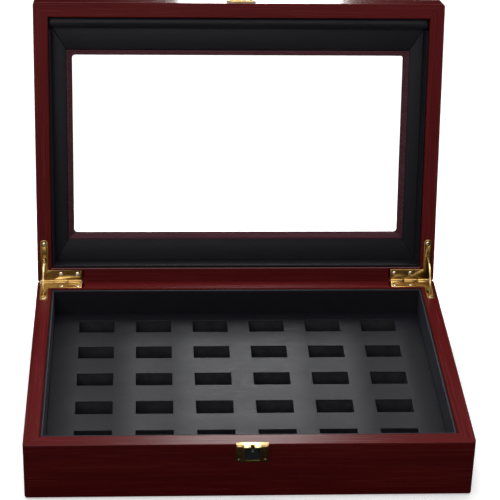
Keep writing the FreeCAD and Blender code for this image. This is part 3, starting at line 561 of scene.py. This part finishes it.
# %% [markdown]
# ## Glass
#
# The window is a clear pane. Nearly all that reaches the eye comes straight through, and a
# little is mirrored, more at a glancing angle: the fifth power of how far the surface turns
# away. Blender's Fresnel node isn't used, because it would make the pane's far face a full
# mirror. Faint smears in the gloss keep the pane from looking like an empty hole.

# %% Glass
def window_glass(name):
    tree, surface, finish = new_finish(name)
    tree.nodes.remove(surface)
    points = object_points(tree)
    smears = noise(tree, points, (0.05, 0.012, 0.02), detail=4)
    clear = node(tree, "BsdfTransparent")
    tint = ramp(tree, smears, [(0.3, (0.975, 0.985, 0.98)), (0.7, (0.99, 0.995, 0.992))])
    tree.links.new(tint, clear.inputs["Color"])
    mirror = node(tree, "BsdfGlossy")
    tree.links.new(span(tree, smears, 0.015, 0.06), mirror.inputs["Roughness"])
    steep = node(tree, "Math", operation="POWER")
    tree.links.new(node(tree, "LayerWeight").outputs["Facing"], steep.inputs[0])
    steep.inputs[1].default_value = 5.0
    both = node(tree, "MixShader")
    tree.links.new(span(tree, steep.outputs["Value"], 0.02, 0.9, 0, 1), both.inputs["Fac"])
    tree.links.new(clear.outputs["BSDF"], both.inputs[1])
    tree.links.new(mirror.outputs["BSDF"], both.inputs[2])
    tree.links.new(both.outputs["Shader"], tree.nodes["Material Output"].inputs["Surface"])
    return finish


# %% [markdown]
# ## Foam, felt and board
#
# The tray's body is black open-cell foam, which shows on the walls of the slots. Under the
# case is a sheet of dark felt, glued to the bottom board. They share one idea: a matt colour
# broken up at the size of the cell, the fibre or the chip.

# %% Foam, felt and board
def foam(name):
    tree, surface, finish = new_finish(name)
    points = object_points(tree)
    holes = cells(tree, points, 0.55 * MM)
    drift = noise(tree, points, 0.01, detail=3)
    tree.links.new(ramp(tree, blend_values(tree, holes, drift, 0.5),
                        [(0.15, (0.013, 0.013, 0.015)), (0.6, (0.042, 0.042, 0.047))]),
                   surface.inputs["Base Color"])
    set_constants(surface, Roughness=0.95, Specular_IOR_Level=0.15)
    press(tree, surface, [(holes, 0.35 * MM, 0.8)])
    return finish


def felt(name, dark, light):
    tree, surface, finish = new_finish(name)
    points = object_points(tree)
    fibres = noise(tree, points, (0.0022, 0.0003, 0.0010), detail=4, distortion=1.5)
    clumps = noise(tree, points, 0.004, detail=3)
    tree.links.new(ramp(tree, blend_values(tree, clumps, fibres, 0.6), [(0.3, dark), (0.7, light)]),
                   surface.inputs["Base Color"])
    set_constants(surface, Roughness=0.97, Specular_IOR_Level=0.1, Sheen_Weight=0.3, Sheen_Roughness=0.6)
    press(tree, surface, [(fibres, 0.25 * MM, 0.7)])
    return finish


def board(name, dark, light, chip):
    """Pressed board or card, with chips of the given size."""
    tree, surface, finish = new_finish(name)
    points = object_points(tree)
    chips = noise(tree, points, (chip * 4, chip, chip), detail=4, distortion=0.8)
    tree.links.new(ramp(tree, chips, [(0.3, dark), (0.7, light)]), surface.inputs["Base Color"])
    tree.links.new(span(tree, chips, 0.6, 0.8), surface.inputs["Roughness"])
    press(tree, surface, [(chips, 0.05 * MM, 0.4)])
    return finish


# %% [markdown]
# ## Finishing the wooden frame
#
# The rails, the members round the window and the bead keep their CAD shape, which has the
# eased edges and mitres already. Each gets its own cherry, with the grain along it.

# %% The wood
def finish_node(name, finish):
    for material_slot in frame["nodes"][name].material_slots:
        material_slot.link = "OBJECT"
        material_slot.material = finish


def lid_turn(extra_z):
    """Undoes the open lid's tilt, then turns about Z."""
    return (math.degrees(OPEN), 0, extra_z)


def shut_height(value):
    """Height of a plane of the shut lid, in the coordinates that lid_turn gives."""
    turned = Matrix.Rotation(OPEN, 4, "X") @ HINGE
    return value - HINGE.z + turned.z


def finish_wood():
    base_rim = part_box("base_left_rail")[1].z
    lid_rim = shut_box("lid_left_rail")[0].z
    for number, side in enumerate(("front", "back", "left", "right")):
        across = 90 if side in ("left", "right") else 0
        base = cherry(f"cherry_base_{side}", (0, 0, across), number + 1, ((0, 0, 0), base_rim, True))
        finish_node(f"base_{side}_rail", base)
        rim = (lid_turn(0), shut_height(lid_rim), False)
        finish_node(f"lid_{side}_rail", cherry(f"cherry_lid_{side}", lid_turn(across), number + 5, rim))
        finish_node(f"lid_window_{side}", cherry(f"cherry_window_{side}", lid_turn(across), number + 9))
    # the bead gets the mauve tones, a painted reflection of the pane over it
    finish_node("window_bead", cherry("cherry_bead", lid_turn(0), 14, tones=BEAD_REFLECTION_TONES))


finish_wood()

# %% [markdown]
# ## Small things that keep their CAD shape
#
# The pane and the boards inside are right as they are, so they only get finishes.

# %% Pane and boards
finish_node("window_pane", window_glass("window_glass"))
finish_node("base_bottom_panel", board("bottom_board", (0.055, 0.012, 0.009), (0.12, 0.035, 0.022), 0.0012))
finish_node("tray_board", board("tray_card", (0.035, 0.034, 0.032), (0.075, 0.072, 0.068), 0.0008))

# %% [markdown]
# ## Brass with soft edges
#
# Real pressed brass has no knife edges: polishing rounds them by a fifth of a millimetre or
# less, and that thin round is what catches the light. Each brass part is a copy of its CAD shape. The
# copy's loose triangles are merged and its flat faces joined up, and then a small bevel
# rounds every edge sharper than the facets of its curves.

# %% Soft-edged copies
WELD = 0.002 * MM
FLAT_WITHIN = 0.6            # degrees between two triangles of one flat face
SHARP = 32                   # degrees at an edge that gets rounded
ON_PLANE = 0.01 * MM         # how near a point lies to the plane it is taken to be on


def softened_copy(name, soften):
    """A copy of a CAD node with its sharp edges rounded by soften metres."""
    mesh = frame["nodes"][name].data.copy()
    piece = bpy.data.objects.new(name + "_polished", mesh)
    bpy.context.scene.collection.objects.link(piece)
    mesh.name = piece.name
    edit(piece, "VERT")
    bpy.ops.mesh.select_all(action="SELECT")
    bpy.ops.mesh.remove_doubles(threshold=WELD)
    bpy.ops.mesh.dissolve_limited(angle_limit=math.radians(FLAT_WITHIN))
    leave_edit()
    rounding = piece.modifiers.new("soft_edges", "BEVEL")
    rounding.width = soften
    rounding.segments = 2
    rounding.limit_method = "ANGLE"
    rounding.angle_limit = math.radians(SHARP)
    rounding.miter_outer = "MITER_ARC"
    bpy.ops.object.modifier_apply(modifier="soft_edges")
    return smooth(piece, 40)


BRASS = (0.37, 0.22, 0.056)
BRASS_TARNISH = (0.28, 0.135, 0.034)
# painted highlight: the catch's paler, creamier brass stands in for the glint on it
CATCH_HIGHLIGHT_BRASS = (0.56, 0.38, 0.16)
# painted highlight: the stays' brass is much brighter than the hinges', standing in for the glint along them
STAY_HIGHLIGHT_BRASS = (0.86, 0.62, 0.28)
SCREW_BRASS = (0.70, 0.58, 0.40)
brass = metal("polished_brass", BRASS, BRASS_TARNISH, 0.28)
catch_brass = metal("catch_brass", CATCH_HIGHLIGHT_BRASS, BRASS, 0.33, seed=1.3)
screw_brass = metal("pale_brass", SCREW_BRASS, (0.55, 0.42, 0.25), 0.24, seed=0.4)
satin_highlight_brass = metal("satin_highlight_brass", STAY_HIGHLIGHT_BRASS, BRASS, 0.34, seed=0.8)
black_enamel = enamel("black_enamel")


def polish(name, soften, finish):
    place(softened_copy(name, soften), BODY_OF[name], finish, [name])


def polish_brass():
    for side in ("left", "right"):
        for part in ("base_leaf", "lid_leaf", "pin"):
            polish(f"hinge_{side}_{part}", 0.2 * MM, brass)
        # the stays get the brighter brass, a painted highlight
        polish(f"hinge_{side}_stay", 0.2 * MM, satin_highlight_brass)
    for name in ("catch_housing", "hasp_plate", "hasp_flap"):
        # the catch's parts get the paler brass, a painted highlight
        polish(name, 0.15 * MM, catch_brass)
    polish("hasp_pin", 0.1 * MM, brass)
    for name in ("hinge_base_screws", "hinge_lid_screws", "catch_nails", "hasp_nails"):
        polish(name, 0.06 * MM, screw_brass)
    polish("catch_button", 0.3 * MM, black_enamel)


polish_brass()

# %% [markdown]
# ## The spring behind the button
#
# The bowed strip of spring steel flattens in the real catch as the button is pressed: its feet
# stay against the end of their pocket, and its crown moves back as far as the button does.
# Here it is a soft-edged copy of its CAD shape in steel, with a mesh of its own.

# %% Spring
def bow_spring():
    strip = softened_copy("catch_spring", 0.04 * MM)
    finish = metal("spring_steel", (0.42, 0.43, 0.45), (0.22, 0.20, 0.18), 0.3)
    place(strip, "base", finish, ["catch_spring"])
    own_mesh(strip)


bow_spring()

# %% [markdown]
# ## Lining the walls
#
# The walls of the base and of the lid are lined with card wrapped in leatherette. Each card
# is a thin box with its ends mitred into the corners, and the wrap makes its free edges
# round. A bisect through each corner cuts the mitre, and a bevel rounds the edge.

# %% Mitred, wrapped cards
WALL_MITRES = {
    "front": (((0, 0), (1, -1)), ((1, 0), (-1, -1))),
    "back": (((0, 1), (1, 1)), ((1, 1), (-1, 1))),
    "left": (((0, 0), (-1, 1)), ((0, 1), (-1, -1))),
    "right": (((1, 0), (1, 1)), ((1, 1), (1, -1))),
}


LONG_EDGE = 20 * MM
WRAP_ROUND = 0.42            # share of a card's thickness that its round edge takes
WINDOW_ROUND = 0.5 * MM
LINING_PLAY = 0.2 * MM


def mitred_box(name, low, high, wall, border, ends=(True, True)):
    """A box along one wall, its ends cut towards the corners of a frame with those borders."""
    piece = box_between(name, low, high)
    for (corner, lean), wanted in zip(WALL_MITRES[wall], ends):
        if not wanted:
            continue
        edit(piece)
        bpy.ops.mesh.select_all(action="SELECT")
        at = (high.x if corner[0] else low.x, high.y if corner[1] else low.y, low.z)
        keep = Vector((lean[0] * border[1], lean[1] * border[0], 0)).normalized()
        bpy.ops.mesh.bisect(plane_co=at, plane_no=keep, use_fill=True, clear_inner=True)
        leave_edit()
    return piece


def round_edges(piece, level, reach, segments=4):
    """Rounds the long edges at one height."""
    mesh = edit(piece, "EDGE")
    choose_edges(piece, mesh, lambda a, b: max(abs(a.z - level), abs(b.z - level)) < ON_PLANE
                 and (a - b).length > LONG_EDGE)
    bpy.ops.mesh.bevel(offset=reach, segments=segments, profile=0.5, affect="EDGES")
    leave_edit()
    return smooth(piece)


def line_base():
    for number, wall in enumerate(WALL_MITRES):
        node_name = f"base_{wall}_liner"
        low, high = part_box(node_name)
        thick = min(high.x - low.x, high.y - low.y)
        card = mitred_box(f"base_{wall}_lining", low, high, wall, (thick, thick))
        round_edges(card, high.z, WRAP_ROUND * thick)
        # tone 0.6: painted shade for the base's walls
        finish = leatherette(f"wall_leatherette_{wall}", 0.6, number, 0.55, 0.2)
        place(card, "base", finish, [node_name])


def line_lid():
    for number, wall in enumerate(("back", "left", "right")):
        node_name = f"lid_{wall}_liner"
        low, high = shut_box(node_name)
        thick = min(high.x - low.x, high.y - low.y)
        ends = (True, True) if wall == "back" else (False, True)
        card = mitred_box(f"lid_{wall}_lining", low, high, wall, (thick, thick), ends)
        round_edges(card, low.z, WRAP_ROUND * thick)
        swing_open(card)
        # tone 0.4: the lid's walls are painted darkest, as painted shade
        finish = leatherette(f"lid_leatherette_{wall}", 0.4, number + 5, 0.55, 0.2)
        place(card, "lid", finish, [node_name])


line_base()
line_lid()

# %% [markdown]
# ## Lining round the window
#
# Four flat cards, wider at the top and bottom of the window than at its sides, fill the lid
# up to the bead. Their joints run from the lid's corners to the bead's.

# %% Window lining
def line_window():
    low, high = shut_box("lid_inner_frame")
    bead_low, bead_high = shut_box("window_bead")
    inner_low = Vector((bead_low.x - LINING_PLAY, bead_low.y - LINING_PLAY, low.z))
    inner_high = Vector((bead_high.x + LINING_PLAY, bead_high.y + LINING_PLAY, high.z))
    border = (inner_low.x - low.x, inner_low.y - low.y)
    spans = {
        "front": (low, Vector((high.x, inner_low.y, high.z))),
        "back": (Vector((low.x, inner_high.y, low.z)), high),
        "left": (low, Vector((inner_low.x, high.y, high.z))),
        "right": (Vector((inner_high.x, low.y, low.z)), high),
    }
    cards = []
    for wall, (start, end) in spans.items():
        card = mitred_box(f"window_lining_{wall}", start, end, wall, border)
        cards.append(round_edges(card, low.z, WINDOW_ROUND, 3))
    whole = cards[0]
    deselect()
    for card in cards:
        card.select_set(True)
    bpy.context.view_layer.objects.active = whole
    bpy.ops.object.join()
    rename(whole, "window_lining")
    swing_open(whole)
    # tone 0.66: painted shade for the lining round the window
    finish = leatherette("window_leatherette", 0.66, 9, 0.5, 0.3)
    place(whole, "lid", finish, ["lid_inner_frame"])


line_window()

# %% [markdown]
# ## The padded roll in the lid
#
# A soft roll fills the lid's front wall, so that the case shuts without a knock. It is
# leatherette drawn over wadding and glued at the back and top. It starts as a box a little
# too small, is remeshed into small even squares, and is then blown up as cloth: the glued
# faces are pinned, and pressure swells the free ones. A cap on how far a point may move
# keeps it in the space that it has.

# %% The roll
ROLL_VOXEL = 2.4 * MM
ROLL_SHRINK = 1.0 * MM
ROLL_FRAMES = 20
ROLL_PRESSURE = 4.0
ROLL_ROUND = 0.34            # share of the roll's depth that its long edge's round takes


def pin(piece, test):
    group = piece.vertex_groups.new(name="glued")
    glued = [vertex.index for vertex in piece.data.vertices if test(vertex.co)]
    group.add(glued, 1.0, "REPLACE")
    print(piece.name, len(glued), "of", len(piece.data.vertices), "points glued")


def blow_up(piece, pressure, most):
    """Runs the cloth with its inside under pressure, and holds each point to its cap."""
    start = [vertex.co.copy() for vertex in piece.data.vertices]
    work_on(piece)
    cloth = piece.modifiers.new("cloth", "CLOTH")
    cloth.settings.use_pressure = True
    cloth.settings.uniform_pressure_force = pressure
    cloth.settings.effector_weights.gravity = 0
    cloth.settings.vertex_group_mass = "glued"
    cloth.point_cache.frame_start, cloth.point_cache.frame_end = 1, ROLL_FRAMES
    for moment in range(1, ROLL_FRAMES + 1):
        bpy.context.scene.frame_set(moment)
    bpy.ops.object.modifier_apply(modifier="cloth")
    bpy.context.scene.frame_set(1)
    for vertex, was in zip(piece.data.vertices, start):
        move = vertex.co - was
        if move.length > most:
            vertex.co = was + move * (most / move.length)


def pad_lid():
    low, high = shut_box("lid_front_pad")
    thick = high.y - low.y
    start = Vector((low.x, low.y, low.z + ROLL_SHRINK))
    end = Vector((high.x, high.y - ROLL_SHRINK, high.z))
    roll = box_between("lid_roll", start, end)
    mesh = edit(roll, "EDGE")
    choose_edges(roll, mesh, lambda a, b: max(a.z, b.z) < start.z + ON_PLANE and abs(a.x - b.x) > thick)
    bpy.ops.mesh.bevel(offset=ROLL_ROUND * thick, segments=5, profile=0.5, affect="EDGES")
    leave_edit()
    remesh = roll.modifiers.new("even_squares", "REMESH")
    remesh.mode = "VOXEL"
    remesh.voxel_size = ROLL_VOXEL
    bpy.ops.object.modifier_apply(modifier="even_squares")
    glue = 0.6 * ROLL_VOXEL
    pin(roll, lambda at: at.z > end.z - glue or at.y < start.y + glue)
    blow_up(roll, ROLL_PRESSURE, ROLL_SHRINK)
    work_on(roll)
    rounding = roll.modifiers.new("rounding", "SUBSURF")
    rounding.levels = rounding.render_levels = 1
    bpy.ops.object.modifier_apply(modifier="rounding")
    bpy.ops.object.shade_smooth()
    swing_open(roll)
    # tone 0.55: painted shade for the roll
    finish = leatherette("roll_leatherette", 0.55, 11, 0.5, 0.3)
    place(roll, "lid", finish, ["lid_front_pad"])


pad_lid()

# %% [markdown]
# ## The slotted tray
#
# The tray is a block of foam with a leatherette cover glued on, punched with slots in rows.
# Both come from one flat sheet: it is bisected along every edge of every slot, and the
# faces inside the slots are deleted. Extruding what is left downwards gives the foam its
# depth, or the cover its thickness. The cover's cut edges are then bevelled, because the
# press draws them down into the foam.

# %% The tray
COVER_ROUND = 0.45 * MM


def slotted_slab(name, top, depth):
    x_lines, y_lines = levels("tray_cover", 0), levels("tray_cover", 1)
    deselect()
    middle = ((x_lines[0] + x_lines[-1]) / 2, (y_lines[0] + y_lines[-1]) / 2, top)
    bpy.ops.mesh.primitive_plane_add(size=1, location=middle)
    slab = rename(bpy.context.object, name)
    slab.scale = (x_lines[-1] - x_lines[0], y_lines[-1] - y_lines[0], 1)
    bpy.ops.object.transform_apply(location=True, rotation=True, scale=True)
    edit(slab)
    for lines, along in ((x_lines, Vector((1, 0, 0))), (y_lines, Vector((0, 1, 0)))):
        for line in lines[1:-1]:
            bpy.ops.mesh.select_all(action="SELECT")
            bpy.ops.mesh.bisect(plane_co=along * line, plane_no=along)
    mesh = bmesh.from_edit_mesh(slab.data)

    def in_slot(at, _normal):
        column = sum(line < at.x for line in x_lines)
        row = sum(line < at.y for line in y_lines)
        return column % 2 == 0 and row % 2 == 0

    choose_faces(slab, mesh, in_slot)
    bpy.ops.mesh.delete(type="FACE")
    bpy.ops.mesh.select_all(action="SELECT")
    bpy.ops.mesh.extrude_region_move(TRANSFORM_OT_translate={"value": (0, 0, -depth)})
    leave_edit()
    return slab


def make_tray():
    foam_low, foam_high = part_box("foam_row_strips")
    block = slotted_slab("tray_foam", foam_high.z, foam_high.z - foam_low.z)
    place(block, "base", foam("black_foam"), ["foam_row_strips", "foam_slot_spacers"])
    cover_low, cover_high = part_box("tray_cover")
    cover = slotted_slab("tray_leatherette", cover_high.z, cover_high.z - cover_low.z)
    mesh = edit(cover, "EDGE")
    for edge in mesh.edges:
        at_top = min(vertex.co.z for vertex in edge.verts) > cover_high.z - ON_PLANE
        walls = [face for face in edge.link_faces if abs(face.normal.z) < 0.5]
        edge.select = at_top and len(walls) == 1
    bmesh.update_edit_mesh(cover.data)
    bpy.ops.mesh.bevel(offset=COVER_ROUND, segments=3, profile=0.5, affect="EDGES")
    leave_edit()
    smooth(cover, 50)
    # tone 0.45: painted shade for the tray
    finish = leatherette("tray_leatherette", 0.45, 3, 0.44, 0.155)
    place(cover, "base", finish, ["tray_cover"])


make_tray()

# %% [markdown]
# ## Felt under the case
#
# A thin felt sheet with cut corners keeps the case from scratching a table. It is a flat box
# with its upright corners rounded and its cut edge slightly soft.

# %% Felt
FELT_CORNER = 2.5 * MM
FELT_SOFTEN = 0.25 * MM


def lay_felt():
    low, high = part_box("base_felt")
    sheet = box_between("felt_sheet", low, high)
    mesh = edit(sheet, "EDGE")
    choose_edges(sheet, mesh, lambda a, b: abs(a.z - b.z) > 0.5 * (high.z - low.z))
    bpy.ops.mesh.bevel(offset=FELT_CORNER, segments=6, profile=0.5, affect="EDGES")
    leave_edit()
    rounding = sheet.modifiers.new("soft_edge", "BEVEL")
    rounding.width = FELT_SOFTEN
    rounding.segments = 2
    rounding.limit_method = "ANGLE"
    rounding.angle_limit = math.radians(60)
    bpy.ops.object.modifier_apply(modifier="soft_edge")
    smooth(sheet)
    place(sheet, "base", felt("dark_felt", (0.004, 0.004, 0.005), (0.014, 0.014, 0.016)), ["base_felt"])


lay_felt()

# %% Measure
print("cad", tuple(cad_low), tuple(cad_high))
